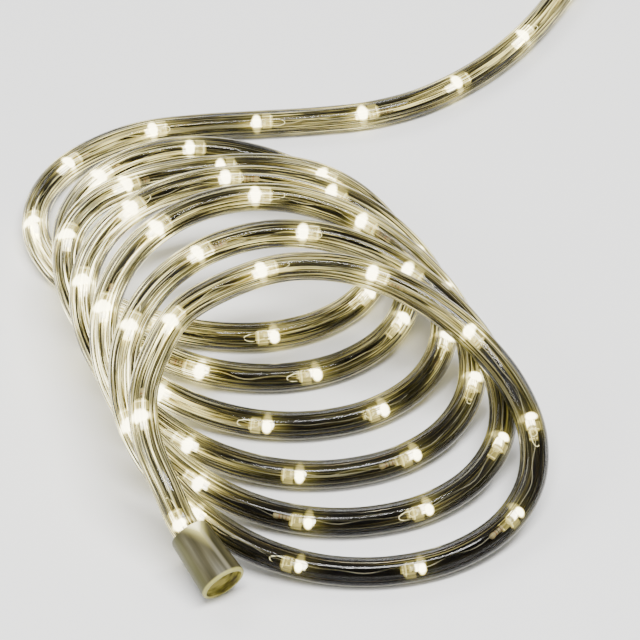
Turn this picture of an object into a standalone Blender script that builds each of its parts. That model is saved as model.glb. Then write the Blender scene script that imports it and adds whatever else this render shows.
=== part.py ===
"""LED rope light: clear round rope with a string of lamps inside, lying as a leaning coil.

Units are metres, +Z is up, and the rope rests on z = 0.
Looking along +Y, the open end cap is at the front left and the feed end curls up at the back.
"""

import math

import bmesh
import bpy
from mathutils import Vector

# Rope section
ROPE_DIAMETER = 0.010
JACKET_WALL = 0.0012
FIT_GAP = 0.0003
ROPE_SIDES = 10

# Core bar with its slot, the bus wires beside it and the lamp string in it
SLOT_WALL = 0.0005
SLOT_CLEARANCE = 0.0006
SLOT_FLOOR = 0.0010
BUS_WIRE_DIAMETER = 0.0008
BUS_WIRE_RISE = 0.0012
WIRE_GAP = 0.0002
LAMP_DIAMETER = 0.0024
LAMP_LENGTH = 0.0042
LAMP_DOME = 0.0014
LAMP_PITCH = 0.0394
FIRST_LAMP = 0.0005
LEAD_DIAMETER = 0.0006
RESISTOR_DIAMETER = 0.0022
RESISTOR_LENGTH = 0.0062
RESISTOR_OFFSET = 0.0085
LAMPS_PER_RESISTOR = 3

# Moulded end cap and feed socket
CAP_WALL = 0.0017
CAP_FLARE = 0.0010
RIM_WALL = 0.0013
CAP_LENGTH = 0.022
CAP_GRIP = 0.013
CAP_WEB = 0.0018
CAP_EDGE = 0.0004
SOCKET_LENGTH = 0.027
SOCKET_GRIP = 0.014
SOCKET_WEB = 0.0025
PIN_DIAMETER = 0.0009
PIN_LENGTH = 0.010
TURNED_SIDES = 24

# The coil: each turn is laid a step further forward and leans on the turn before it
TURNS = 6
STEPS_PER_TURN = 20
FIRST_PHASE = 0.30
COIL_START = (-0.0451, 0.0593)
TURN_RADIUS = 0.0621
RADIUS_GROWTH = 0.00137
MIDDLE_TURN = 3.5
OVALNESS = -0.085
OVAL_HEADING = math.radians(41)
TURN_STEP = 0.0266
STEP_HEADING = math.radians(18)
RISE_HEADING = math.radians(19.4)
FLAT_TURNS = 0.6
TURN_STACK = 0.01206
BEND_POWER = 1.3

# How each turn was laid by hand: extra lean in degrees, extra step, extra radius and sag at the back
TURN_LAY = (
    (0.0, 0.0, 0.0010, 0.0),
    (1.1, 0.0025, -0.0045, 0.0),
    (1.2, -0.0025, 0.0, 0.013),
    (0.3, 0.0005, 0.0010, 0.005),
    (0.4, 0.0, 0.0, 0.0),
    (0.1, 0.0010, 0.0, 0.0),
    (0.8, 0.0, 0.0, 0.0),
)
FIRST_LAY = 0.25

# Free run from the back of the coil towards the feed end, on the floor, in turn radii from the coil's start
FEED_RUN = (
    (-0.304, 0.816), (0.018, 0.873), (0.372, 0.897), (0.726, 0.921), (1.048, 0.969),
    (1.338, 1.082), (1.596, 1.267), (1.837, 1.509), (2.047, 1.799), (2.224, 2.121),
    (2.369, 2.443), (2.498, 2.781), (2.610, 3.167), (2.683, 3.457),
)
LOOP_RADIUS = 0.055
LOOP_ANGLE = math.radians(255)
LOOP_STEP = 0.018
LIFTED_STEPS = 5

# Free run from the front of the coil down to the end cap, in turn radii from the front turn's centre
CAP_RUN = ((-0.881, 0.613, 0.821), (-1.009, 0.372, 0.741), (-1.074, 0.114, 0.660),
           (-1.049, -0.150, 0.545), (-0.946, -0.385, 0.404))
CAP_END_PLACE = (-0.6476, -0.8393)
CAP_HEADING = Vector((0.524, -0.757, -0.390)).normalized()
STRAIGHT_LEAD = 0.004
SLOT_FACING = Vector((0.0, -0.79, 0.61))

ROPE_RADIUS = ROPE_DIAMETER / 2
BORE_RADIUS = ROPE_RADIUS - JACKET_WALL
BORE_FLAT = BORE_RADIUS * math.cos(math.pi / ROPE_SIDES)
CAP_BORE = ROPE_RADIUS + FIT_GAP
CAP_RADIUS = CAP_BORE + CAP_WALL
RIM_RADIUS = CAP_RADIUS + CAP_FLARE
SLOT_HALF = LAMP_DIAMETER / 2 + SLOT_CLEARANCE
CORE_HALF = SLOT_HALF + SLOT_WALL
BUS_WIRE_OFFSET = CORE_HALF + WIRE_GAP + BUS_WIRE_DIAMETER / 2


def clear_scene():
    for obj in list(bpy.data.objects):
        bpy.data.objects.remove(obj, do_unlink=True)


def make_material(name, color, roughness, metallic=0.0, alpha=1.0):
    material = bpy.data.materials.new(name)
    material.use_nodes = True
    shader = material.node_tree.nodes["Principled BSDF"]
    shader.inputs["Base Color"].default_value = (*color, 1.0)
    shader.inputs["Roughness"].default_value = roughness
    shader.inputs["Metallic"].default_value = metallic
    shader.inputs["Alpha"].default_value = alpha
    return material


def lay_of(turn):
    """Blend the hand-laid extras between the backs of neighbouring turns."""
    place = min(max(turn - FIRST_LAY, 0.0), len(TURN_LAY) - 1.0)
    before = min(int(place), len(TURN_LAY) - 2)
    part = place - before
    ease = part * part * (3 - 2 * part)
    return [a + (b - a) * ease for a, b in zip(TURN_LAY[before], TURN_LAY[before + 1])]


def turn_lean(turn, extra_degrees):
    """Lean of a turn that rests on the turns before it, growing from flat to a steady angle."""
    carried = (TURN_RADIUS - TURN_STEP / 2) / (TURN_RADIUS + TURN_STEP / 2)
    laid = max(turn - FLAT_TURNS, 0.0)
    return math.atan(TURN_STACK / TURN_STEP * (1 - carried ** laid)) + math.radians(extra_degrees) * min(laid, 1)


def coil_point(turn):
    """Point of the rope's centre line, counted in turns from the back of the coil."""
    extra_lean, extra_step, extra_radius, sag = lay_of(turn)
    phase = 2 * math.pi * turn
    lean = turn_lean(turn, extra_lean)
    travel = TURN_STEP * turn + extra_step
    radius = TURN_RADIUS + RADIUS_GROWTH * (turn - MIDDLE_TURN) + extra_radius
    radius *= 1 + OVALNESS * math.cos(2 * (phase - OVAL_HEADING))
    across = radius * math.cos(phase)
    back = radius * math.sin(phase) * math.cos(lean)
    x = COIL_START[0] + travel * math.sin(STEP_HEADING)
    x += across * math.cos(RISE_HEADING) - back * math.sin(RISE_HEADING)
    y = COIL_START[1] - travel * math.cos(STEP_HEADING)
    y += across * math.sin(RISE_HEADING) + back * math.cos(RISE_HEADING)
    rise = 2 * ((1 + math.sin(phase)) / 2) ** BEND_POWER
    height = TURN_RADIUS * math.sin(lean) * rise - sag * max(math.sin(phase), 0) ** 3
    return Vector((x, y, ROPE_RADIUS + height))


def coil_points():
    steps = TURNS * STEPS_PER_TURN
    return [coil_point(FIRST_PHASE + step / STEPS_PER_TURN) for step in range(steps + 1)]


def turn_centre(turn):
    """Place on the floor that a turn is laid round."""
    travel = TURN_STEP * turn
    x = COIL_START[0] + travel * math.sin(STEP_HEADING)
    return Vector((x, COIL_START[1] - travel * math.cos(STEP_HEADING), 0))


def cap_axis():
    """Inner mouth and outer end of the cap's axis; its rim touches the floor."""
    rim_height = RIM_RADIUS * math.sqrt(1 - CAP_HEADING.z ** 2)
    end = turn_centre(FIRST_PHASE + TURNS) + Vector((*CAP_END_PLACE, 0)) * TURN_RADIUS
    end.z = rim_height
    return end - CAP_HEADING * CAP_LENGTH, end


def cap_run_points():
    mouth, _ = cap_axis()
    run = [turn_centre(FIRST_PHASE + TURNS) + Vector(point) * TURN_RADIUS for point in CAP_RUN]
    run.append(mouth - CAP_HEADING * STRAIGHT_LEAD)
    run.append(mouth + CAP_HEADING * (CAP_GRIP - FIT_GAP))
    return run


def run_length(points):
    return sum((b - a).length for a, b in zip(points, points[1:]))


def feed_run_points():
    """Plan run to the back, then one round loop with its end lifted to the socket's axis."""
    points = [turn_centre(0) + Vector((x * TURN_RADIUS, y * TURN_RADIUS, ROPE_RADIUS)) for x, y in FEED_RUN]
    steps = round(LOOP_ANGLE * LOOP_RADIUS / LOOP_STEP)
    heading = points[-1] - points[-2]
    start = math.atan2(heading.y, heading.x) - math.pi / 2
    centre = points[-1] - Vector((math.cos(start), math.sin(start), 0)) * LOOP_RADIUS
    for step in range(1, steps + 1):
        angle = start + LOOP_ANGLE * step / steps
        lifted = max(step - steps + LIFTED_STEPS, 0) / LIFTED_STEPS
        lift = (RIM_RADIUS - ROPE_RADIUS) * lifted * lifted * (3 - 2 * lifted)
        points.append(centre + Vector((LOOP_RADIUS * math.cos(angle), LOOP_RADIUS * math.sin(angle), lift)))
    return points


def socket_lead_points(loop):
    """Straight and level end of the rope, in the feed socket."""
    along = loop[-1] - loop[-2]
    along.z = 0
    along.normalize()
    lead = loop[-1] + along * STRAIGHT_LEAD
    return [lead, lead + along * SOCKET_GRIP]


def sweep_frames(points):
    """Centre, sideways and slotward directions of the rope at each point."""
    frames = []
    for index, point in enumerate(points):
        ahead = points[min(index + 1, len(points) - 1)]
        behind = points[max(index - 1, 0)]
        along = (ahead - behind).normalized()
        side = along.cross(SLOT_FACING).normalized()
        frames.append((point, side, side.cross(along)))
    return frames


def rope_route():
    """Centre line from the feed end through the coil to the end cap."""
    feed = feed_run_points()
    feed += socket_lead_points(feed)
    return feed[::-1] + coil_points() + cap_run_points()


def ring(radius, sides, centre=(0.0, 0.0)):
    """Outline of a round bar, as sideways and slotward offsets, with a corner opposite the slot."""
    angles = [2 * math.pi * side / sides - math.pi / 2 for side in range(sides)]
    return [(centre[0] + radius * math.cos(a), centre[1] + radius * math.sin(a)) for a in angles]


def add_loop(bm, frame, outline):
    centre, side, up = frame
    return [bm.verts.new(centre + side * x + up * z) for x, z in outline]


def skin(bm, loops):
    for first, second in zip(loops, loops[1:]):
        count = len(first)
        for i in range(count):
            j = (i + 1) % count
            bm.faces.new((first[i], first[j], second[j], second[i]))


def finish_object(bm, name, material, sharp_degrees=40):
    bmesh.ops.recalc_face_normals(bm, faces=bm.faces)
    mesh = bpy.data.meshes.new(name)
    bm.to_mesh(mesh)
    bm.free()
    mesh.shade_smooth()
    mesh.set_sharp_from_angle(angle=math.radians(sharp_degrees))
    mesh.materials.append(material)
    obj = bpy.data.objects.new(name, mesh)
    bpy.context.collection.objects.link(obj)
    return obj


def sweep_bar(name, frames, outlines, material):
    """Solid bar along the rope; outlines holds one outline for each frame."""
    bm = bmesh.new()
    loops = [add_loop(bm, frame, outline) for frame, outline in zip(frames, outlines)]
    skin(bm, loops)
    bm.faces.new(loops[0])
    bm.faces.new(reversed(loops[-1]))
    return finish_object(bm, name, material)


def make_jacket(frames, material):
    """Clear extruded tube, open at both ends."""
    bm = bmesh.new()
    outer = [add_loop(bm, frame, ring(ROPE_RADIUS, ROPE_SIDES)) for frame in frames]
    inner = [add_loop(bm, frame, ring(BORE_RADIUS, ROPE_SIDES)) for frame in frames]
    skin(bm, outer)
    skin(bm, inner)
    for a, b in ((outer[0], inner[0]), (outer[-1], inner[-1])):
        skin(bm, (a, b))
    return finish_object(bm, "jacket", material)


def core_outline():
    """Flat-sided bar with an open slot for the lamps."""
    floor = -SLOT_HALF
    bottom = floor - SLOT_FLOOR
    reach = BORE_FLAT - FIT_GAP
    top = math.sqrt(reach ** 2 - CORE_HALF ** 2)
    return [(-CORE_HALF, bottom), (CORE_HALF, bottom), (CORE_HALF, BUS_WIRE_RISE), (CORE_HALF, top),
            (SLOT_HALF, top), (SLOT_HALF, floor), (-SLOT_HALF, floor), (-SLOT_HALF, top),
            (-CORE_HALF, top), (-CORE_HALF, BUS_WIRE_RISE)]


def make_core(frames, material):
    return sweep_bar("core", frames, [core_outline()] * len(frames), material)


def make_bus_wires(frames, material):
    for index, side in enumerate((-1, 1), start=1):
        outline = ring(BUS_WIRE_DIAMETER / 2, 4, (side * BUS_WIRE_OFFSET, BUS_WIRE_RISE))
        sweep_bar(f"bus_wire_{index}", frames, [outline] * len(frames), material)


def frame_at(points, distance):
    """Frame on the rope's straight steps, at a distance from the end cap's end."""
    for ahead, behind in zip(points[:0:-1], points[-2::-1]):
        step = (ahead - behind).length
        if distance <= step:
            break
        distance -= step
    along = (ahead - behind).normalized()
    side = along.cross(SLOT_FACING).normalized()
    return ahead - along * distance, side, side.cross(along)


def string_stations(length):
    """Distances from the cap's end and radii along the lamp string, one lamp after another."""
    lead = LEAD_DIAMETER / 2
    stations = [(FIT_GAP * 2, lead)]
    lamp_start = CAP_GRIP + FIRST_LAMP
    lamp = 0
    while lamp_start + LAMP_PITCH / 2 < length - SOCKET_GRIP:
        dome = lamp_start + LAMP_LENGTH
        stations.append((lamp_start, lead))
        stations.append((lamp_start + LAMP_DOME, LAMP_DIAMETER / 2))
        stations.append((dome, LAMP_DIAMETER / 2))
        stations.append((dome + LEAD_DIAMETER / 2, lead))
        if lamp % LAMPS_PER_RESISTOR == 1:
            body = lamp_start + RESISTOR_OFFSET
            end = body + RESISTOR_LENGTH
            stations.append((body, lead))
            stations.append((body + LEAD_DIAMETER, RESISTOR_DIAMETER / 2))
            stations.append((end, RESISTOR_DIAMETER / 2))
            stations.append((end + LEAD_DIAMETER, lead))
        stations.append((lamp_start + LAMP_PITCH * 0.55, lead))
        stations.append((lamp_start + LAMP_PITCH * 0.78, lead))
        lamp_start += LAMP_PITCH
        lamp += 1
    return stations


def make_led_string(points, material):
    """Lamps, resistors and the leads between them, soldered into one string."""
    stations = string_stations(run_length(points))
    frames = [frame_at(points, distance) for distance, _ in stations]
    outlines = [ring(radius, 4) for _, radius in stations]
    return sweep_bar("led_string", frames, outlines, material)


def turned_piece(name, start, heading, profile, material):
    """Turned solid: profile holds (distance along the axis, radius) all round its wall section."""
    side = heading.cross(Vector((0, 0, 1))).normalized()
    up = side.cross(heading)
    bm = bmesh.new()
    loops = [add_loop(bm, (start + heading * along, side, up), ring(radius, TURNED_SIDES))
             for along, radius in profile]
    skin(bm, loops)
    for loop in (loops[0], loops[-1]):
        bm.faces.new(loop)
    return finish_object(bm, name, material)


def cap_profile(length, grip, web):
    """Sleeve that flares from the rope to its rim, a web across it, and a recess at the outer end."""
    return [(grip, CAP_BORE - CAP_EDGE), (grip, CAP_BORE), (0.0, CAP_BORE), (0.0, CAP_RADIUS - CAP_EDGE),
            (CAP_EDGE, CAP_RADIUS), (length - CAP_EDGE, RIM_RADIUS), (length, RIM_RADIUS - CAP_EDGE),
            (length, RIM_RADIUS - RIM_WALL), (grip + web, CAP_BORE), (grip + web, CAP_BORE - CAP_EDGE)]


def make_end_cap(material):
    mouth, _ = cap_axis()
    return turned_piece("end_cap", mouth, CAP_HEADING, cap_profile(CAP_LENGTH, CAP_GRIP, CAP_WEB), material)


def make_feed_socket(points, material, pin_material):
    """Socket on the feed end, with two contact pins that reach back to the bus wires."""
    heading = (points[0] - points[1]).normalized()
    mouth = points[0] - heading * (SOCKET_GRIP - FIT_GAP)
    profile = cap_profile(SOCKET_LENGTH, SOCKET_GRIP, SOCKET_WEB)
    socket = turned_piece("feed_socket", mouth, heading, profile, material)
    side = heading.cross(Vector((0, 0, 1))).normalized()
    base = mouth + heading * (SOCKET_GRIP + SOCKET_WEB + FIT_GAP)
    for index, offset in enumerate((-BUS_WIRE_OFFSET, BUS_WIRE_OFFSET), start=1):
        pin = [(0.0, PIN_DIAMETER / 2), (PIN_LENGTH * 0.9, PIN_DIAMETER / 2), (PIN_LENGTH, PIN_DIAMETER / 4)]
        turned_piece(f"contact_pin_{index}", base + side * offset, heading, pin, pin_material)
    return socket


def centre_on_origin():
    """Bring the middle of the whole part's plan box to the origin."""
    objects = [obj for obj in bpy.context.collection.objects if obj.type == "MESH"]
    spread = [vert.co.copy() for obj in objects for vert in obj.data.vertices]
    middle = Vector([-(min(v[i] for v in spread) + max(v[i] for v in spread)) / 2 for i in (0, 1)] + [0.0])
    for obj in objects:
        for vert in obj.data.vertices:
            vert.co += middle


def build():
    clear_scene()
    clear_pvc = make_material("clear_pvc", (0.80, 0.80, 0.66), 0.12, alpha=0.4)
    core_pvc = make_material("core_pvc", (0.62, 0.58, 0.36), 0.25, alpha=0.6)
    tinned_copper = make_material("tinned_copper", (0.72, 0.62, 0.42), 0.3, metallic=1.0)
    lamp_string = make_material("lamp_string", (1.0, 0.93, 0.66), 0.3)
    moulded_pvc = make_material("moulded_pvc", (0.56, 0.55, 0.40), 0.3)
    brass = make_material("contact_brass", (0.80, 0.62, 0.30), 0.3, metallic=1.0)
    points = rope_route()
    frames = sweep_frames(points)
    make_jacket(frames, clear_pvc)
    make_core(frames, core_pvc)
    make_bus_wires(frames, tinned_copper)
    make_led_string(points, lamp_string)
    make_end_cap(moulded_pvc)
    make_feed_socket(points, moulded_pvc, brass)
    centre_on_origin()


build()
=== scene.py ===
"""The looks of a clear LED rope light that lies in a loose, leaning coil on a pale floor."""

import math

import bmesh
import bpy
import numpy as np
from mathutils import Matrix, Vector


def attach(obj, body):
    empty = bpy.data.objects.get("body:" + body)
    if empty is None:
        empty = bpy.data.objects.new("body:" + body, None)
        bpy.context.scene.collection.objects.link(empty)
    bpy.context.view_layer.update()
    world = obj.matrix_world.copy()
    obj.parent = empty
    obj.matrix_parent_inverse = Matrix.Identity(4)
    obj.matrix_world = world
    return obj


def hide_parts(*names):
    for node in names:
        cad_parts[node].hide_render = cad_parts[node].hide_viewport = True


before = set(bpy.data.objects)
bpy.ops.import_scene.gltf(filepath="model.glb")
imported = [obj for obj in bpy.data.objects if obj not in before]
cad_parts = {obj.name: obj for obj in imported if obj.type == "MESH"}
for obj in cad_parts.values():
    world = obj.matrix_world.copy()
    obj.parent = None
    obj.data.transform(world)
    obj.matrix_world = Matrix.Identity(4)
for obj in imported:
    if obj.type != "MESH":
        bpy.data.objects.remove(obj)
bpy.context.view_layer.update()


# Studio: a matt white floor under large soft lamps, and the camera at the photograph's angle.
# The middle of the whole rope's plan box is at the origin, so every place is moved by MIDDLE.
MIDDLE = Vector((-0.010437, -0.094999, 0.0))
VIEW_HEIGHT = math.radians(37.5)
VIEW_ROLL = math.radians(1.23)
VIEW_DISTANCE = 1.747
VIEW_LENS = 275.74


class Shade:
    """A shader socket that adds, multiplies and divides like a number."""

    def __init__(self, recipe, socket):
        self.recipe = recipe
        self.socket = socket

    def join(self, operation, other, swap=False):
        values = (other, self) if swap else (self, other)
        return self.recipe.math(operation, *values)

    def __add__(self, other):
        return self.join("ADD", other)

    def __radd__(self, other):
        return self.join("ADD", other, True)

    def __sub__(self, other):
        return self.join("SUBTRACT", other)

    def __rsub__(self, other):
        return self.join("SUBTRACT", other, True)

    def __mul__(self, other):
        return self.join("MULTIPLY", other)

    def __rmul__(self, other):
        return self.join("MULTIPLY", other, True)

    def __truediv__(self, other):
        return self.join("DIVIDE", other)

    def __pow__(self, other):
        return self.join("POWER", other)


class Recipe:
    """One material; every node but its Principled shader comes from add()."""

    def __init__(self, name, **constants):
        self.material = bpy.data.materials.new(name)
        self.material.use_nodes = True
        self.tree = self.material.node_tree
        self.shader = self.tree.nodes["Principled BSDF"]
        for socket, value in constants.items():
            self.shader.inputs[socket.replace("_", " ")].default_value = value

    def add(self, kind, settings=None, sockets=None, output=0):
        node = self.tree.nodes.new(kind)
        for name, value in (settings or {}).items():
            if name == "stops":
                self.set_stops(node.color_ramp, value)
            else:
                setattr(node, name, value)
        for name, value in (sockets or {}).items():
            self.feed(node.inputs[name], value)
        return Shade(self, node.outputs[output])

    def set_stops(self, ramp, stops):
        while len(ramp.elements) < len(stops):
            ramp.elements.new(0.5)
        for element, (place, color) in zip(ramp.elements, stops):
            element.position = place
            element.color = (*color, 1.0)

    def feed(self, socket, value):
        if isinstance(value, Shade):
            self.tree.links.new(value.socket, socket)
        else:
            socket.default_value = value

    def math(self, operation, *values):
        return self.add("ShaderNodeMath", {"operation": operation}, dict(enumerate(values)))

    def ramp(self, value, stops):
        return self.add("ShaderNodeValToRGB", {"stops": stops}, {"Fac": value})

    def smooth(self, value, low, high):
        """0 below low, 1 above high, eased between; low may be the larger."""
        settings = {"interpolation_type": "SMOOTHSTEP"}
        ends = {"Value": value, "From Min": low, "From Max": high}
        return self.add("ShaderNodeMapRange", settings, ends)

    def blend(self, share, first, second):
        """Colour between first and second."""
        return self.add("ShaderNodeMix", {"data_type": "RGBA"}, {0: share, 6: first, 7: second}, 2)

    def place(self, x, y, z):
        return self.add("ShaderNodeCombineXYZ", None, {"X": x, "Y": y, "Z": z})

    def parts(self, vector):
        """The three numbers of a vector."""
        return [self.add("ShaderNodeSeparateXYZ", None, {0: vector}, output) for output in range(3)]

    def noise(self, place, scale, detail=2.0, roughness=0.5):
        sockets = {"Vector": place, "Scale": scale, "Detail": detail, "Roughness": roughness}
        return self.add("ShaderNodeTexNoise", None, sockets)

    def drive(self, socket, value):
        self.tree.links.new(value.socket, self.shader.inputs[socket])


camera_data = bpy.data.cameras.new("camera")
camera_data.lens = VIEW_LENS
camera_data.sensor_width = 36.0
camera_data.clip_end = 20.0
camera = bpy.data.objects.new("camera", camera_data)
bpy.context.scene.collection.objects.link(camera)
line_of_sight = Vector((0.0, math.cos(VIEW_HEIGHT), -math.sin(VIEW_HEIGHT)))
camera.matrix_world = (
    Matrix.Translation(MIDDLE - line_of_sight * VIEW_DISTANCE)
    @ Matrix.Rotation(math.pi / 2 - VIEW_HEIGHT, 4, "X")
    @ Matrix.Rotation(-VIEW_ROLL, 4, "Z")
)
bpy.context.scene.camera = camera

bpy.ops.object.select_all(action="DESELECT")
bpy.ops.mesh.primitive_plane_add(size=8.0, location=(0, 0, 0))
floor = bpy.context.object
floor.name = "floor"
paper = Recipe("floor_paper", Base_Color=(0.92, 0.92, 0.91, 1), Roughness=0.9)
paper.shader.inputs["Specular IOR Level"].default_value = 0.1
grain = paper.noise(paper.add("ShaderNodeTexCoord", output="Object"), 400.0)
bumps = {"Strength": 0.02, "Distance": 0.001, "Height": grain}
paper.drive("Normal", paper.add("ShaderNodeBump", None, bumps))
floor.data.materials.append(paper.material)

sky = bpy.data.worlds.new("studio")
bpy.context.scene.world = sky
sky.use_nodes = True
sky.node_tree.nodes["Background"].inputs["Color"].default_value = (1.0, 1.0, 1.0, 1)
sky.node_tree.nodes["Background"].inputs["Strength"].default_value = 0.40


def add_softbox(name, place, size, power):
    data = bpy.data.lights.new(name, "AREA")
    data.shape = "RECTANGLE"
    data.size, data.size_y = size
    data.energy = power
    lamp = bpy.data.objects.new(name, data)
    bpy.context.scene.collection.objects.link(lamp)
    aim = (MIDDLE - Vector(place)).to_track_quat("-Z", "Y")
    lamp.matrix_world = Matrix.Translation(place) @ aim.to_matrix().to_4x4()


add_softbox("softbox_above", (0.25, -0.70, 1.85), (1.7, 0.40), 80.0)
add_softbox("softbox_behind", (-0.6, 1.3, 1.5), (1.6, 0.8), 20.0)
add_softbox("softbox_left", (-1.6, -0.6, 1.1), (0.6, 0.9), 14.0)


# Jacket: a clear, glossy round tube of extruded flexible PVC, 10 mm across, in six leaning turns
# with a free run at each end. The wall looks dark where one sees along it, so painted shade darkens its
# edges.
ROPE_RADIUS = 0.005
BORE_RADIUS = 0.0038
RIM_RADIUS = 0.0080
CAP_GRIP = 0.013
SOCKET_GRIP = 0.014
SLOT_FACING = Vector((0.0, -0.79, 0.61))
TURNS = 6
STEPS_PER_TURN = 20
FINE_STEPS = 8
FIRST_PHASE = 0.30
COIL_START = (-0.0451, 0.0593)
TURN_RADIUS = 0.0621
RADIUS_GROWTH = 0.00137
MIDDLE_TURN = 3.5
OVALNESS = -0.085
OVAL_HEADING = math.radians(41)
TURN_STEP = 0.0266
STEP_HEADING = math.radians(18)
RISE_HEADING = math.radians(19.4)
FLAT_TURNS = 0.6
TURN_STACK = 0.01206
BEND_POWER = 1.3
# How each turn was laid by hand: more lean in degrees, then shift along the coil, radius and sag.
TURN_LAY = (
    (0.0, 0.0, 0.0010, 0.0),
    (1.1, 0.0025, -0.0045, 0.0),
    (1.2, -0.0025, 0.0, 0.013),
    (0.3, 0.0005, 0.0010, 0.005),
    (0.4, 0.0, 0.0, 0.0),
    (0.1, 0.0010, 0.0, 0.0),
    (0.8, 0.0, 0.0, 0.0),
)
FIRST_LAY = 0.25
# Both free runs are in turn radii, from the first turn's centre and from the last one's.
FEED_RUN = (
    (-0.304, 0.816), (0.018, 0.873), (0.372, 0.897), (0.726, 0.921), (1.048, 0.969),
    (1.338, 1.082), (1.596, 1.267), (1.837, 1.509), (2.047, 1.799), (2.224, 2.121),
    (2.369, 2.443), (2.498, 2.781), (2.610, 3.167), (2.683, 3.457),
)
LOOP_RADIUS = 0.055
LOOP_ANGLE = math.radians(255)
LOOP_STEP = 0.018
LIFTED_STEPS = 5
CAP_RUN = (
    (-0.881, 0.613, 0.821), (-1.009, 0.372, 0.741), (-1.074, 0.114, 0.660),
    (-1.049, -0.150, 0.545), (-0.946, -0.385, 0.404),
)
CAP_END_PLACE = (-0.6476, -0.8393)
CAP_HEADING = Vector((0.524, -0.757, -0.390)).normalized()
CAP_LENGTH = 0.022
STRAIGHT_LEAD = 0.004
FIT_GAP = 0.0003


def coil_point(turn):
    """Point of the rope's centre line, counted in turns from the back of the coil."""
    place = min(max(turn - FIRST_LAY, 0.0), len(TURN_LAY) - 1.0)
    before = min(int(place), len(TURN_LAY) - 2)
    part = place - before
    ease = part * part * (3 - 2 * part)
    lay = [a + (b - a) * ease for a, b in zip(TURN_LAY[before], TURN_LAY[before + 1])]
    phase = 2 * math.pi * turn
    carried = (TURN_RADIUS - TURN_STEP / 2) / (TURN_RADIUS + TURN_STEP / 2)
    laid = max(turn - FLAT_TURNS, 0.0)
    lean = math.atan(TURN_STACK / TURN_STEP * (1 - carried**laid)) + math.radians(lay[0]) * min(laid, 1)
    travel = TURN_STEP * turn + lay[1]
    radius = TURN_RADIUS + RADIUS_GROWTH * (turn - MIDDLE_TURN) + lay[2]
    radius *= 1 + OVALNESS * math.cos(2 * (phase - OVAL_HEADING))
    across = radius * math.cos(phase)
    back = radius * math.sin(phase) * math.cos(lean)
    x = COIL_START[0] + travel * math.sin(STEP_HEADING)
    x += across * math.cos(RISE_HEADING) - back * math.sin(RISE_HEADING)
    y = COIL_START[1] - travel * math.cos(STEP_HEADING)
    y += across * math.sin(RISE_HEADING) + back * math.cos(RISE_HEADING)
    rise = 2 * ((1 + math.sin(phase)) / 2) ** BEND_POWER
    height = TURN_RADIUS * math.sin(lean) * rise - lay[3] * max(math.sin(phase), 0) ** 3
    return Vector((x, y, ROPE_RADIUS + height))


def turn_centre(turn):
    travel = TURN_STEP * turn
    x = COIL_START[0] + travel * math.sin(STEP_HEADING)
    return Vector((x, COIL_START[1] - travel * math.cos(STEP_HEADING), 0))


def feed_points():
    """Plan run to the back and one round loop, then the straight end in the feed socket."""
    points = [turn_centre(0) + Vector((x * TURN_RADIUS, y * TURN_RADIUS, ROPE_RADIUS)) for x, y in FEED_RUN]
    steps = round(LOOP_ANGLE * LOOP_RADIUS / LOOP_STEP)
    heading = points[-1] - points[-2]
    start = math.atan2(heading.y, heading.x) - math.pi / 2
    centre = points[-1] - Vector((math.cos(start), math.sin(start), 0)) * LOOP_RADIUS
    for step in range(1, steps + 1):
        angle = start + LOOP_ANGLE * step / steps
        lifted = max(step - steps + LIFTED_STEPS, 0) / LIFTED_STEPS
        lift = (RIM_RADIUS - ROPE_RADIUS) * lifted * lifted * (3 - 2 * lifted)
        points.append(centre + Vector((LOOP_RADIUS * math.cos(angle), LOOP_RADIUS * math.sin(angle), lift)))
    along = points[-1] - points[-2]
    along.z = 0
    along.normalize()
    lead = points[-1] + along * STRAIGHT_LEAD
    return points + [lead, lead + along * SOCKET_GRIP]


def cap_points():
    """Run down the front of the coil into the end cap, and the cap's mouth."""
    front = turn_centre(FIRST_PHASE + TURNS)
    end = front + Vector((*CAP_END_PLACE, 0)) * TURN_RADIUS
    end.z = RIM_RADIUS * math.sqrt(1 - CAP_HEADING.z**2)
    mouth = end - CAP_HEADING * CAP_LENGTH
    run = [front + Vector(point) * TURN_RADIUS for point in CAP_RUN]
    run.append(mouth - CAP_HEADING * STRAIGHT_LEAD)
    run.append(mouth + CAP_HEADING * (CAP_GRIP - FIT_GAP))
    return run, mouth


coil = [coil_point(FIRST_PHASE + step / STEPS_PER_TURN) for step in range(TURNS * STEPS_PER_TURN + 1)]
cap_end_run, cap_mouth = cap_points()
laid_points = [point + MIDDLE for point in feed_points()[::-1] + coil + cap_end_run][::-1]
cap_mouth = cap_mouth + MIDDLE


def smooth_route(points):
    """A curve through all the laid points, and how far along the rope each of its points is."""
    padded = [2 * points[0] - points[1]] + points + [2 * points[-1] - points[-2]]
    curve, runs, run = [], [], 0.0
    for a, b, c, d in zip(padded, padded[1:], padded[2:], padded[3:]):
        length = (c - b).length
        for step in range(FINE_STEPS):
            t = step / FINE_STEPS
            bend = (2 * a - 5 * b + 4 * c - d) * t * t + (3 * b - a - 3 * c + d) * t**3
            curve.append(0.5 * (2 * b + (c - a) * t + bend))
            runs.append(run + length * t)
        run += length
    return np.array(curve + [points[-1]]), np.array(runs + [run])


route, route_run = smooth_route(laid_points)
rope_length = float(route_run[-1])
tangents = np.gradient(route, axis=0)
tangents /= np.linalg.norm(tangents, axis=1)[:, None]


def frames_at(runs):
    """Centre, sideways and slotward directions at places along the rope, counted from the cap."""
    centre = np.stack([np.interp(runs, route_run, route[:, i]) for i in range(3)], axis=1)
    ahead = np.stack([np.interp(runs, route_run, tangents[:, i]) for i in range(3)], axis=1)
    ahead /= np.linalg.norm(ahead, axis=1)[:, None]
    side = np.cross(-ahead, np.array(SLOT_FACING))
    side /= np.linalg.norm(side, axis=1)[:, None]
    return centre, side, np.cross(side, -ahead)


BAKE_ROWS = 10
BAKE_CORNER = 0.999
SHARP_ANGLE = math.radians(40)


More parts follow.
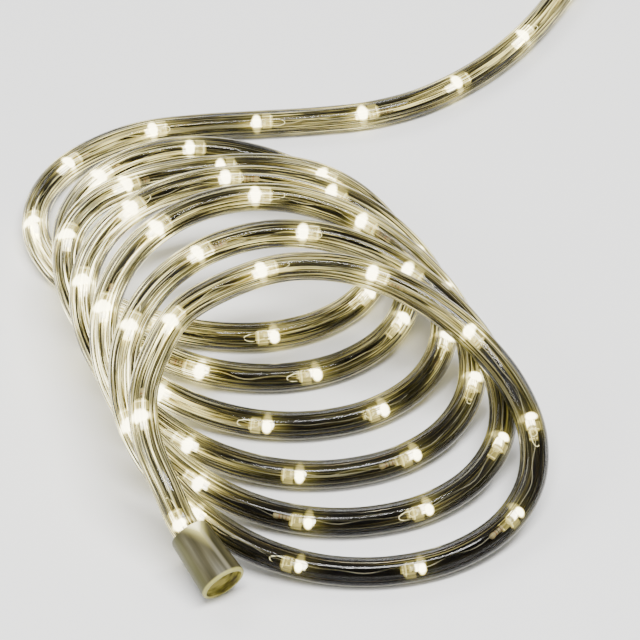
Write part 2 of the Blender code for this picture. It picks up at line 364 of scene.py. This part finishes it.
def swept(name, runs, outlines, closed=True, inside_out=False, bake_band=(0.02, 0.98)):
    """Outlines carried along the rope, with maps of metres along it and the share of the way round.

    The bake map folds the rope into rows and puts this skin in a band of each row.
    """
    centre, side, slotward = frames_at(runs)
    outlines = np.broadcast_to(outlines, (len(runs), *np.shape(outlines)[-2:]))
    count = outlines.shape[1]
    places = centre[:, None] + outlines[..., :1] * side[:, None] + outlines[..., 1:] * slotward[:, None]
    index = np.arange(len(runs) * count).reshape(len(runs), count)
    near, far = index[:-1], index[1:]
    quads = np.stack([near, far, np.roll(far, -1, 1), np.roll(near, -1, 1)], -1).reshape(-1, 4)
    around = np.tile(np.arange(count) / count, len(runs) - 1)
    start, end = np.repeat(runs[:-1], count), np.repeat(runs[1:], count)
    row_steps = -(-len(runs) // BAKE_ROWS)
    row = np.repeat(np.arange(len(runs) - 1) // row_steps, count)
    row_start = runs[row * row_steps]
    row_length = np.diff(np.append(runs[::row_steps], runs[-1])).max() * 1.01
    corners, bake = [], []
    after = around + 1 / count
    for run, share in ((start, around), (end, around), (end, after), (start, after)):
        corners.append(np.stack([run, share], -1))
        height = bake_band[0] + (bake_band[1] - bake_band[0]) * share
        bake.append(np.stack([(run - row_start) / row_length + 0.004, (row + height) / BAKE_ROWS], -1))
    corners, bake = np.stack(corners, 1), np.stack(bake, 1)
    if inside_out:
        quads, corners, bake = quads[:, ::-1], corners[:, ::-1], bake[:, ::-1]
    faces, maps = quads.tolist(), [corners.reshape(-1, 2), bake.reshape(-1, 2)]
    if closed:
        faces += [index[0].tolist(), index[-1][::-1].tolist()]
        for run in (runs[0], runs[-1]):
            maps[0] = np.concatenate([maps[0], np.tile((run, 0.5), (count, 1))])
            maps[1] = np.concatenate([maps[1], np.tile((BAKE_CORNER, BAKE_CORNER), (count, 1))])
    mesh = bpy.data.meshes.new(name)
    mesh.from_pydata(places.reshape(-1, 3).tolist(), [], faces)
    for title, values in zip(("along_and_round", "OFBake"), maps):
        mesh.uv_layers.new(name=title).uv.foreach_set("vector", values.astype(np.float32).ravel())
    return mesh


def shown(name, meshes, material, replaced=()):
    """One piece of the rope from its meshes, riding on the part and standing for its CAD nodes."""
    bm = bmesh.new()
    for mesh in meshes:
        bm.from_mesh(mesh)
    bmesh.ops.remove_doubles(bm, verts=bm.verts, dist=1e-7)
    mesh = bpy.data.meshes.new(name)
    bm.to_mesh(mesh)
    bm.free()
    mesh.shade_smooth()
    mesh.set_sharp_from_angle(angle=SHARP_ANGLE)
    mesh.materials.append(material)
    piece = bpy.data.objects.new(name, mesh)
    bpy.context.scene.collection.objects.link(piece)
    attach(piece, "root")
    for node in replaced:
        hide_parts(node)
    return piece


def round_outline(radius, sides, centre=(0.0, 0.0)):
    """Outline counted from the slot's direction, turning towards the side."""
    angles = 2 * math.pi * np.arange(sides) / sides
    return np.stack([centre[0] + radius * np.sin(angles), centre[1] + radius * np.cos(angles)], 1)


LAMP_PITCH = 0.0394
LAMP_LENGTH = 0.0042
FIRST_LAMP = 0.0005
JACKET_SIDES = 28
JACKET_INSET = 0.00002
INNER_MARK = 2.0
CREAM_HIGHLIGHT = (0.95, 0.88, 0.48, 1)
DARK_STREAK = (0.006, 0.005, 0.002, 1)
SHADE_EDGE_COLOUR = (0.012, 0.012, 0.007, 1)
LIT_EDGE_COLOUR = (0.38, 0.36, 0.28, 1)


def rope_recipe(name, **constants):
    """A recipe that knows places along and round the rope, the way to the nearest lamp, and where the rope is
    painted lit.
    """
    recipe = Recipe(name, **constants)
    chart = recipe.add("ShaderNodeUVMap", {"uv_map": "along_and_round"})
    recipe.along, recipe.around, _ = recipe.parts(chart)
    recipe.front = recipe.math("COSINE", recipe.around * (2 * math.pi))
    recipe.side = recipe.math("SINE", recipe.around * (2 * math.pi))
    from_first = recipe.along - (CAP_GRIP + FIRST_LAMP + LAMP_LENGTH / 2)
    recipe.from_lamp = recipe.math("PINGPONG", from_first, LAMP_PITCH / 2)
    recipe.feedward = recipe.math("WRAP", from_first, LAMP_PITCH / 2, -LAMP_PITCH / 2)
    # Painted light: the rope is painted paler at the left, high up and at the right, where light gathers, and
    # darker in front.
    across, depth, height = recipe.parts(recipe.add("ShaderNodeTexCoord", output="Object"))
    at_left = recipe.smooth(across, -0.02, -0.085) * (1 - 0.45 * recipe.smooth(depth, -0.05, 0.0))
    raised = recipe.smooth(height, 0.022, 0.046) * 0.54 + recipe.smooth(depth, -0.01, 0.08) * 0.10
    at_right = recipe.smooth(across, -0.03, 0.04) * recipe.smooth(depth, -0.19, -0.12) * 0.55
    inner_turns = recipe.smooth(across, -0.04, -0.015) * recipe.smooth(depth, -0.13, -0.10) * 0.55
    in_front = recipe.smooth(depth, -0.20, -0.235) * recipe.smooth(across, -0.07, -0.04)
    pale = at_left
    for lit in (raised, at_right, inner_turns):
        pale = recipe.math("MAXIMUM", pale, lit)
    recipe.pale = pale - in_front * 0.25
    recipe.dark_lines = recipe.smooth(streaks(recipe, 0.09, 0.0006, 61.0, 4.0), 0.26, 0.06)
    return recipe


def streaks(recipe, length, width, seed, contrast=2.2):
    """Noise drawn out along the rope; length and width are in metres."""
    around = ROPE_RADIUS / width
    place = recipe.place(recipe.along / length + seed, recipe.front * around, recipe.side * around)
    return (recipe.noise(place, 1.0, 2.0) - 0.5) * contrast + 0.5


def band(recipe, value, middle, half, soft):
    """1 within half of the middle, eased to 0 over soft."""
    return recipe.smooth(recipe.math("ABSOLUTE", value - middle), half + soft, half)


def blob(recipe, along, length, side, middle, width, power=2.0):
    """Soft-edged spot of half sizes length and width; a higher power squares its corners."""
    ends = recipe.math("ABSOLUTE", along / length) ** power
    sides = recipe.math("ABSOLUTE", (side - middle) / width) ** power
    return recipe.smooth(ends + sides, 1.6, 0.3)


def lamp_light(recipe, strength):
    """Painted glow of each lamp on the rope: a hot block, its smaller image across the core, its foot, its
    body and a soft halo, with painted glints carried along bright streaks where the rope is painted lit.
    """
    facing = recipe.smooth(recipe.front, -0.2, 0.3)
    length, width = 0.0016 + 0.0009 * recipe.pale, 0.42 + 0.22 * recipe.pale
    block = blob(recipe, recipe.from_lamp, length, recipe.side, 0.20, width)
    image = blob(recipe, recipe.from_lamp, 0.0017, recipe.side, -0.25, 0.55) * 0.30
    foot = blob(recipe, recipe.feedward - 0.0056, 0.0006, recipe.side, 0.10, 0.42, 4.0) * 0.30
    body = band(recipe, recipe.feedward, 0.0038, 0.0014, 0.0006)
    body = body * band(recipe, recipe.side, 0.12, 0.50, 0.14) * 0.26
    halo = recipe.smooth(recipe.from_lamp, 0.0120, 0.0005)
    halo = halo * halo * streaks(recipe, 0.012, 0.0007, 21.0, 3.6) * (0.20 + 0.42 * recipe.pale)
    # Painted glints: lamp light carried along bright streaks, stronger where the rope is painted lit.
    carried = recipe.smooth(streaks(recipe, 0.03, 0.0004, 41.0, 4.5), 0.80, 1.2) * (recipe.pale + 0.06) * 0.95
    glow = facing * (block + image + foot + body) + (halo + carried) * (1 - 0.9 * recipe.dark_lines)
    color = recipe.ramp(glow, [
        (0.0, (0, 0, 0)), (0.15, (0.020, 0.017, 0.003)), (0.40, (0.12, 0.10, 0.030)),
        (0.70, (0.38, 0.33, 0.13)), (1.0, (1.0, 0.92, 0.56))])
    recipe.drive("Emission Color", color)
    recipe.shader.inputs["Emission Strength"].default_value = strength
    return glow


# Streaks of four widths make the jacket's tint; clearness is how little one sees through it.
jacket_finish = rope_recipe("clear_jacket", Roughness=0.07, IOR=1.45, Specular_IOR_Level=0.3, Coat_Weight=0.1)
outside = jacket_finish.smooth(jacket_finish.around, INNER_MARK - 0.4, INNER_MARK - 0.6)
wide = streaks(jacket_finish, 0.10, 0.0020, 3.0)
fine = streaks(jacket_finish, 0.06, 0.0007, 11.0, 3.6)
hair = streaks(jacket_finish, 0.09, 0.0003, 31.0, 4.0)
# Cream streaks are painted highlights, more of them where the rope is painted lit.
cream_highlight_streaks = jacket_finish.smooth(streaks(jacket_finish, 0.07, 0.0005, 51.0, 4.0), 0.95, 1.15)
# Painted light: the streaks spread wider and the tone rises where the rope is painted lit.
spread = (wide * 0.40 + fine * 0.34 + hair * 0.26 - 0.5) * (1 + jacket_finish.pale * 0.9)
tone = spread + jacket_finish.pale * 0.35 + 0.20
tint = jacket_finish.ramp(tone, [
    (0.30, (0.003, 0.002, 0.001)), (0.44, (0.016, 0.013, 0.004)), (0.58, (0.10, 0.085, 0.030)),
    (0.70, (0.36, 0.31, 0.11)), (0.86, (0.95, 0.87, 0.44))])
tint = jacket_finish.blend(cream_highlight_streaks * (jacket_finish.pale * 0.7 + 0.2), tint, CREAM_HIGHLIGHT)
tint = jacket_finish.blend(jacket_finish.dark_lines * 0.9, tint, DARK_STREAK)
# Painted shade and light along the sides: one side is painted near black, the other pale grey.
painted_shade_edge = jacket_finish.smooth(jacket_finish.side, -0.78, -0.90)
painted_light_edge = jacket_finish.smooth(jacket_finish.side, 0.90, 0.96)
tint = jacket_finish.blend(painted_shade_edge * 0.8, tint, SHADE_EDGE_COLOUR)
tint = jacket_finish.blend(painted_light_edge * 0.7, tint, LIT_EDGE_COLOUR)
jacket_finish.drive("Base Color", tint)
# The dark tint is made more opaque at the sides and where it glows, which adds painted shade along the sides.
sides = jacket_finish.smooth(jacket_finish.front, 0.75, 0.35)
# Painted lamp glow on the jacket, which is no lamp itself.
glow = lamp_light(jacket_finish, 10.0)
clearness = 0.30 + 0.5 * sides + 0.6 * (cream_highlight_streaks + jacket_finish.dark_lines) + 0.5 * glow
clearness = jacket_finish.math("MINIMUM", clearness, 0.95) * (0.06 + 0.94 * outside)
jacket_finish.drive("Alpha", clearness)

outer = swept("jacket_outer", route_run, round_outline(ROPE_RADIUS - JACKET_INSET, JACKET_SIDES),
              closed=False, bake_band=(0.02, 0.66))
inner = swept("jacket_inner", route_run, round_outline(BORE_RADIUS, JACKET_SIDES),
              closed=False, inside_out=True, bake_band=(0.68, 0.98))
for corner in inner.uv_layers["along_and_round"].uv:
    corner.vector.y += INNER_MARK


def end_rings(outer, inner, sides):
    """The cut faces of a tube between its outer and its inner wall, as a third mesh."""
    last = len(outer.vertices) - sides
    places, faces = [], []
    for first, turned in ((0, True), (last, False)):
        start = len(places)
        places += [wall.vertices[first + i].co.copy() for wall in (outer, inner) for i in range(sides)]
        for i in range(sides):
            after = (i + 1) % sides
            ring = [start + i, start + sides + i, start + sides + after, start + after]
            faces.append(ring[::-1] if turned else ring)
    mesh = bpy.data.meshes.new("jacket_ends")
    mesh.from_pydata(places, [], faces)
    for title in ("along_and_round", "OFBake"):
        for corner in mesh.uv_layers.new(name=title).uv:
            corner.vector = (BAKE_CORNER, BAKE_CORNER)
    return mesh


ends = end_rings(outer, inner, JACKET_SIDES)
jacket = shown("clear_jacket", [outer, inner, ends], jacket_finish.material, ["jacket"])


# Core: the inner bar of slightly yellow PVC that fills the bore, extruded with a deep slot for the
# lamps and a groove on each side for a bus wire. It carries most of the dark and golden streaks.
CORE_RADIUS = 0.0037
SLOT_HALF = 0.0016
SLOT_FLOOR = -0.0015
WIRE_PLACE = (0.0028, 0.0012)
GROOVE_RADIUS = 0.0005
CORE_EDGE = 0.0001


def core_outline():
    """Half of the section from the slot's floor round to the back, and its mirror image."""
    def on_bar(degrees):
        return CORE_RADIUS * math.sin(math.radians(degrees)), CORE_RADIUS * math.cos(math.radians(degrees))

    land = math.sqrt(CORE_RADIUS**2 - SLOT_HALF**2)
    x, z = WIRE_PLACE
    half = [
        (0.0, SLOT_FLOOR), (SLOT_HALF, SLOT_FLOOR), (SLOT_HALF, 0.0),
        (SLOT_HALF, land - CORE_EDGE), (SLOT_HALF + CORE_EDGE, land),
        *(on_bar(degrees) for degrees in (36, 47, 56)),
        (x + CORE_EDGE, z + GROOVE_RADIUS), (x - GROOVE_RADIUS * 0.8, z + GROOVE_RADIUS * 0.6),
        (x - GROOVE_RADIUS * 0.8, z - GROOVE_RADIUS * 0.6), (x + CORE_EDGE, z - GROOVE_RADIUS),
        *(on_bar(degrees) for degrees in range(80, 180, 12)),
        (0.0, -CORE_RADIUS),
    ]
    return np.array(half + [(-a, b) for a, b in half[-2:0:-1]])


core_finish = rope_recipe("streaked_core", Roughness=0.35, IOR=1.3)
wide = streaks(core_finish, 0.12, 0.0022, 0.0)
fine = streaks(core_finish, 0.07, 0.0007, 7.0, 3.6)
# Painted light on the core: a bright painted highlight line near the front on one side, painted shade towards
# the other side, and paler where the rope is painted lit.
line = band(core_finish, core_finish.side, -0.34, 0.03, 0.05)
line = line * core_finish.smooth(core_finish.front, 0.0, 0.4)
shade = core_finish.smooth(core_finish.side, 0.35, 0.7)
spread = (wide * 0.4 + fine * 0.6 - 0.5) * (1 + core_finish.pale * 0.7)
tone = spread + core_finish.pale * 0.32 + line * 0.45 - shade * 0.2 + 0.29
gold = core_finish.ramp(tone, [
    (0.28, (0.003, 0.002, 0.001)), (0.42, (0.035, 0.026, 0.006)), (0.56, (0.24, 0.20, 0.06)),
    (0.70, (0.70, 0.62, 0.27)), (0.88, (1.0, 0.95, 0.64))])
core_finish.drive("Base Color", core_finish.blend(core_finish.dark_lines * 0.9, gold, DARK_STREAK))
# Painted lamp glow on the core.
lamp_light(core_finish, 8.0)

core = shown("core_bar", [swept("core_bar", route_run, core_outline())], core_finish.material, ["core"])


# Bus wires: two bright wires of tinned copper pressed into the core's grooves, one on each side,
# for the whole length. They show as thin bright lines through the jacket.
WIRE_RADIUS = 0.0004
wire_finish = rope_recipe("drawn_copper", Metallic=1.0, Roughness=0.28)
lay = streaks(wire_finish, 0.01, 0.002, 5.0)
wire_finish.drive("Base Color", wire_finish.ramp(lay, [(0.3, (0.62, 0.48, 0.26)), (0.7, (0.95, 0.86, 0.62))]))
for number, side_sign in ((1, -1), (2, 1)):
    outline = round_outline(WIRE_RADIUS, 8, (side_sign * WIRE_PLACE[0], WIRE_PLACE[1]))
    mesh = swept(f"bus_wire_{number}", route_run, outline)
    wire = shown(f"copper_wire_{number}", [mesh], wire_finish.material, [f"bus_wire_{number}"])


# Lamp string: small round lamps with a domed end, banded resistors, and thin tinned leads with
# spare loops, soldered end to end and laid along the slot.
LAMP_RISE = 0.0006
LAMP_RADIUS = 0.0013
RESISTOR_OFFSET = 0.0085
LAMPS_PER_RESISTOR = 3
lamp_starts = np.arange(CAP_GRIP + FIRST_LAMP, rope_length - SOCKET_GRIP - LAMP_PITCH / 2, LAMP_PITCH)


def turned(name, profile, sides):
    """Object turned round its z axis from (along, radius) pairs; it keeps its own places for shading.

    The pairs go round the solid part so that the outside lies on one hand; a radius of 0 is a pole.
    """
    places, rings, faces = [], [], []
    for along, radius in profile:
        count = sides if radius > 0 else 1
        rings.append([len(places) + i % count for i in range(sides)])
        for angle in 2 * math.pi * np.arange(count) / sides:
            places.append((radius * math.cos(angle), radius * math.sin(angle), along))
    for near, far in zip(rings, rings[1:]):
        for i in range(sides):
            after = (i + 1) % sides
            faces.append(list(dict.fromkeys((near[i], near[after], far[after], far[i]))))
    mesh = bpy.data.meshes.new(name)
    mesh.from_pydata(places, [], faces)
    own = mesh.attributes.new("own_place", "FLOAT_VECTOR", "POINT")
    own.data.foreach_set("vector", np.ravel(places))
    piece = bpy.data.objects.new(name, mesh)
    bpy.context.scene.collection.objects.link(piece)
    return piece


def strung(name, piece, starts, material):
    """Copies of a small piece laid along the slot from their places towards the feed, as one mesh."""
    bm = bmesh.new()
    for at, side, slotward in zip(*frames_at(np.array(starts))):
        side, slotward = Vector(side), Vector(slotward)
        place = Matrix((side, slotward, side.cross(slotward))).transposed().to_4x4()
        place.translation = Vector(at) + slotward * LAMP_RISE
        copy = piece.data.copy()
        copy.transform(place)
        bm.from_mesh(copy)
        bpy.data.meshes.remove(copy)
    mesh = bpy.data.meshes.new(name)
    bm.to_mesh(mesh)
    bm.free()
    bpy.data.objects.remove(piece)
    shown_piece = shown(name, [mesh], material)
    return shown_piece


def own_places(recipe):
    """Distance along a turned piece, its radius, and its direction as a place on a unit circle."""
    own = recipe.add("ShaderNodeAttribute", {"attribute_name": "own_place"}, output="Vector")
    x, y, along = recipe.parts(own)
    radius = recipe.math("SQRT", x * x + y * y)
    return along, radius, x / (radius + 0.00001), y / (radius + 0.00001)


lamp_profile = [
    (0.0, 0.0), (0.0001, 0.0006), (0.0005, 0.0010), (0.0011, 0.00122), (0.0016, LAMP_RADIUS),
    (0.0038, LAMP_RADIUS), (0.0038, 0.00145), (0.0043, 0.00145), (0.0043, 0.0009), (0.0052, 0.0009),
    (0.0052, 0.0012), (0.0056, 0.0012), (0.0056, 0.0),
]
lamp_finish = Recipe("lit_lamp", Roughness=0.15, Base_Color=(1.0, 0.97, 0.85, 1), Coat_Weight=0.3)
along, _, _, _ = own_places(lamp_finish)
hot = lamp_finish.smooth(along, 0.0044, 0.0036) * 0.85 + lamp_finish.smooth(along, 0.0050, 0.0053) * 0.3
lamp_finish.drive("Emission Color", lamp_finish.ramp(hot, [
    (0.0, (0.01, 0.009, 0.002)), (0.3, (0.11, 0.095, 0.028)), (0.85, (1.0, 0.94, 0.70))]))
lamp_finish.shader.inputs["Emission Strength"].default_value = 9.0
lamps = strung("lamps", turned("lamp", lamp_profile, 16), lamp_starts, lamp_finish.material)
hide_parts("led_string")

RESISTOR_LENGTH = 0.0062
RESISTOR_PAINT = (0.60, 0.50, 0.26)
RESISTOR_BANDS = (
    (0.20, 0.26, (0.25, 0.10, 0.03)), (0.40, 0.46, (0.02, 0.02, 0.02)),
    (0.58, 0.64, (0.45, 0.12, 0.03)), (0.80, 0.87, (0.75, 0.60, 0.20)),
)
resistor_profile = [
    (0.0, 0.0), (0.0001, 0.0006), (0.0004, 0.00095), (0.0009, 0.0011), (0.0016, 0.00105), (0.0021, 0.0009),
    (0.0041, 0.0009), (0.0046, 0.00105), (0.0053, 0.0011), (0.0058, 0.00095), (0.0061, 0.0006),
    (RESISTOR_LENGTH, 0.0),
]
resistor_finish = Recipe("banded_resistor", Roughness=0.35)
along, _, _, _ = own_places(resistor_finish)
stops = [(0.0, RESISTOR_PAINT)]
for start, end, paint in RESISTOR_BANDS:
    stops += [(start, paint), (end, RESISTOR_PAINT)]
painted = resistor_finish.ramp(along / RESISTOR_LENGTH, stops)
painted.socket.node.color_ramp.interpolation = "CONSTANT"
resistor_finish.drive("Base Color", painted)
# A faint painted glow of lamp light on the resistors, which are no lamps.
resistor_finish.shader.inputs["Emission Color"].default_value = (0.8, 0.65, 0.3, 1)
resistor_finish.shader.inputs["Emission Strength"].default_value = 0.12
resistor_starts = lamp_starts[1::LAMPS_PER_RESISTOR] + RESISTOR_OFFSET
strung("resistors", turned("resistor", resistor_profile, 12), resistor_starts, resistor_finish.material)

LEAD_RADIUS = 0.0002
LEAD_START = 0.004
LEAD_STEP = 0.0022
LEAD_SWAY = 0.00075
LEAD_LIFT = 0.0004
lead_finish = rope_recipe("tinned_lead", Metallic=0.6, Roughness=0.3, Base_Color=(0.85, 0.80, 0.55, 1))
lead_runs = np.arange(LEAD_START, rope_length - SOCKET_GRIP, LEAD_STEP)
sway = LEAD_SWAY * np.sin(lead_runs * 310) * np.sin(lead_runs * 43)
lift = LAMP_RISE + LEAD_LIFT * np.cos(lead_runs * 270)
lead_outlines = round_outline(LEAD_RADIUS, 6) + np.stack([sway, lift], 1)[:, None]
leads = shown("leads", [swept("leads", lead_runs, lead_outlines)], lead_finish.material)


def bent_wire(name, points, radius):
    """Object of a round wire along smooth points."""
    curve = bpy.data.curves.new(name, "CURVE")
    curve.dimensions = "3D"
    curve.bevel_depth = radius
    curve.bevel_resolution = 2
    curve.resolution_u = 6
    curve.use_fill_caps = True
    spline = curve.splines.new("BEZIER")
    spline.bezier_points.add(len(points) - 1)
    for knot, point in zip(spline.bezier_points, points):
        knot.co = point
        knot.handle_left_type = knot.handle_right_type = "AUTO"
    wire = bpy.data.objects.new(name, curve)
    bpy.context.scene.collection.objects.link(wire)
    bpy.ops.object.select_all(action="DESELECT")
    wire.select_set(True)
    bpy.context.view_layer.objects.active = wire
    bpy.ops.object.convert(target="MESH")
    return bpy.context.object


loop_finish = Recipe("lamp_lit_loop", Metallic=0.3, Roughness=0.3, Base_Color=(0.95, 0.90, 0.55, 1))
# Painted glow of lamp light on the wire loops, which are no lamps.
loop_finish.shader.inputs["Emission Color"].default_value = (0.95, 0.85, 0.40, 1)
loop_finish.shader.inputs["Emission Strength"].default_value = 2.0
LOOP_WIRE_RADIUS = 0.00014
long_loop = [
    (0.0010, 0.0014, 0.0056), (0.0013, 0.0019, 0.0085), (0.0009, 0.0020, 0.0116), (-0.0003, 0.0020, 0.0127),
    (-0.0011, 0.0018, 0.0112), (-0.0012, 0.0017, 0.0085), (-0.0008, 0.0013, 0.0060),
]
round_loop = [
    (-0.0008, 0.0013, 0.0054), (-0.0013, 0.0019, 0.0070), (-0.0006, 0.0021, 0.0086),
    (0.0006, 0.0021, 0.0084), (0.0011, 0.0019, 0.0070), (0.0005, 0.0014, 0.0056),
]
for name, points, starts in (
        ("long_loop", long_loop, lamp_starts[0::3]), ("round_loop", round_loop, lamp_starts[2::4])):
    strung(f"{name}s", bent_wire(name, points, LOOP_WIRE_RADIUS), starts, loop_finish.material)


# End cap: a moulded sleeve of smoky clear PVC that flares to a rounded rim, pushed over the rope's
# end and closed by a web, with an open recess at its outer end.
CAP_BORE = 0.0053
CAP_MOUTH_RADIUS = 0.0070
RIM_BORE = 0.0067


def sleeve_profile(length, grip, web):
    """From the bore's floor out over the mouth and the rim, and back into the recess."""
    return [
        (grip, 0.0), (grip, CAP_BORE - 0.0004), (grip - 0.0003, CAP_BORE), (0.0001, CAP_BORE),
        (0.0, CAP_BORE + 0.0002), (0.0, CAP_MOUTH_RADIUS - 0.0007), (0.0002, CAP_MOUTH_RADIUS - 0.0002),
        (0.0007, CAP_MOUTH_RADIUS), (length - 0.0011, RIM_RADIUS), (length - 0.0005, RIM_RADIUS - 0.0001),
        (length - 0.0001, RIM_RADIUS - 0.0004), (length, RIM_RADIUS - 0.0008),
        (length - 0.0001, RIM_BORE + 0.0002), (length - 0.0004, RIM_BORE),
        (grip + web + 0.0004, CAP_BORE), (grip + web, CAP_BORE - 0.0005), (grip + web, 0.0),
    ]


def moulded(name, start, heading, profile, material, node):
    """Turned piece set on an axis that starts at a point, standing for one CAD node."""
    piece = turned(name, profile, 64)
    side = heading.cross(Vector((0, 0, 1))).normalized()
    place = Matrix((side, side.cross(heading) * -1, heading)).transposed().to_4x4()
    place.translation = start
    piece.data.transform(place)
    piece.data.shade_smooth()
    piece.data.set_sharp_from_angle(angle=SHARP_ANGLE)
    piece.data.materials.append(material)
    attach(piece, "root")
    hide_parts(node)
    return piece


def sleeve_recipe(name, length, recess, lit):
    """Smoky moulding with streaks along it, a pale rim and a golden recess; painted lamp light spreads and
    glows at its mouth, with a thin painted light band, and painted shade darkens both sides.
    """
    recipe = Recipe(name, Roughness=0.35, IOR=1.45, Specular_IOR_Level=0.22)
    along, radius, x, y = own_places(recipe)
    flow = recipe.noise(recipe.place(x * 1.6, y * 1.6, along * 40.0), 1.0, 2.0)
    thin = recipe.noise(recipe.place(x * 5.0, y * 5.0, along * 25.0 + 5.0), 1.0, 2.0)
    body = recipe.ramp(flow * 0.6 + thin * 0.4, [
        (0.30, (0.018, 0.016, 0.006)), (0.44, (0.034, 0.030, 0.012)), (0.56, (0.058, 0.051, 0.023)),
        (0.74, (0.13, 0.12, 0.065))])
    across = recipe.math("ABSOLUTE", x)
    facing = recipe.smooth(y, 0.3, -0.4) * lit
    # Painted light: lamp light fanning from the mouth down the facing side.
    lamp_light_fan = recipe.smooth(across + along * 60, 0.85, 0.05) * facing
    body = recipe.blend(lamp_light_fan * 0.7, body, (0.62, 0.55, 0.19, 1))
    # Painted light: a thin pale band on the facing side.
    lit_streak = recipe.smooth(recipe.math("ABSOLUTE", x + 0.12), 0.16, 0.02) * facing
    body = recipe.blend(lit_streak * 0.30, body, (0.40, 0.37, 0.26, 1))
    # Painted shade: both sides darkened towards olive.
    shaded_sides = recipe.smooth(across, 0.80, 0.97)
    body = recipe.blend(shaded_sides * 0.5, body, (0.11, 0.11, 0.030, 1))
    rim = recipe.smooth(along, length - 0.0014, length - 0.0006)
    body = recipe.blend(rim * 0.85, body, (0.44, 0.41, 0.13, 1))
    rings = recipe.noise(recipe.place(y * 0.7, x * 0.7, (along - radius) * 700.0), 1.0, 2.0)
    hollow = recipe.ramp(rings, [
        (0.36, (0.06, 0.045, 0.006)), (0.48, (0.26, 0.23, 0.04)), (0.60, (0.62, 0.55, 0.17))])
    inside = recipe.smooth(along, recess - 0.0003, recess)
    inside = inside * recipe.smooth(radius, RIM_BORE + 0.0003, RIM_BORE)
    recipe.drive("Base Color", recipe.blend(inside, body, hollow))
    # Painted glow of lamp light at the mouth.
    spark = recipe.smooth(across + along * 110, 0.85, 0.15) * facing
    recipe.drive("Emission Color", recipe.ramp(spark, [
        (0.0, (0, 0, 0)), (0.5, (0.16, 0.15, 0.06)), (1.0, (1.0, 0.94, 0.62))]))
    recipe.shader.inputs["Emission Strength"].default_value = 2.5
    return recipe.material


CAP_WEB = 0.0018
end_cap = moulded("end_cap_moulding", cap_mouth, CAP_HEADING, sleeve_profile(CAP_LENGTH, CAP_GRIP, CAP_WEB),
                  sleeve_recipe("smoky_cap", CAP_LENGTH, CAP_GRIP + CAP_WEB, 1.0), "end_cap")


# Feed socket: the same moulding a little longer on the rope's other end, with two round brass
# pins standing in its recess for the power lead.
SOCKET_LENGTH = 0.027
SOCKET_WEB = 0.0025
PIN_OFFSET = 0.0028
PIN_RADIUS = 0.00045
PIN_LENGTH = 0.0100
feed_heading = (laid_points[-1] - laid_points[-2]).normalized()
socket_mouth = laid_points[-1] - feed_heading * (SOCKET_GRIP - FIT_GAP)
feed_socket = moulded("feed_socket_moulding", socket_mouth, feed_heading,
                      sleeve_profile(SOCKET_LENGTH, SOCKET_GRIP, SOCKET_WEB),
                      sleeve_recipe("smoky_socket", SOCKET_LENGTH, SOCKET_GRIP + SOCKET_WEB, 0.3),
                      "feed_socket")
pin_finish = Recipe("turned_brass", Metallic=1.0, Roughness=0.25, Base_Color=(0.80, 0.62, 0.30, 1))
pin_profile = [
    (0.0, 0.0), (0.0, PIN_RADIUS), (0.0090, PIN_RADIUS), (0.0096, 0.00038), (0.0099, 0.00022),
    (PIN_LENGTH, 0.0),
]
pin_side = feed_heading.cross(Vector((0, 0, 1))).normalized()
for number, offset in ((1, -PIN_OFFSET), (2, PIN_OFFSET)):
    start = socket_mouth + feed_heading * (SOCKET_GRIP + SOCKET_WEB) + pin_side * offset
    moulded(f"brass_pin_{number}", start, feed_heading, pin_profile,
                        pin_finish.material, f"contact_pin_{number}")
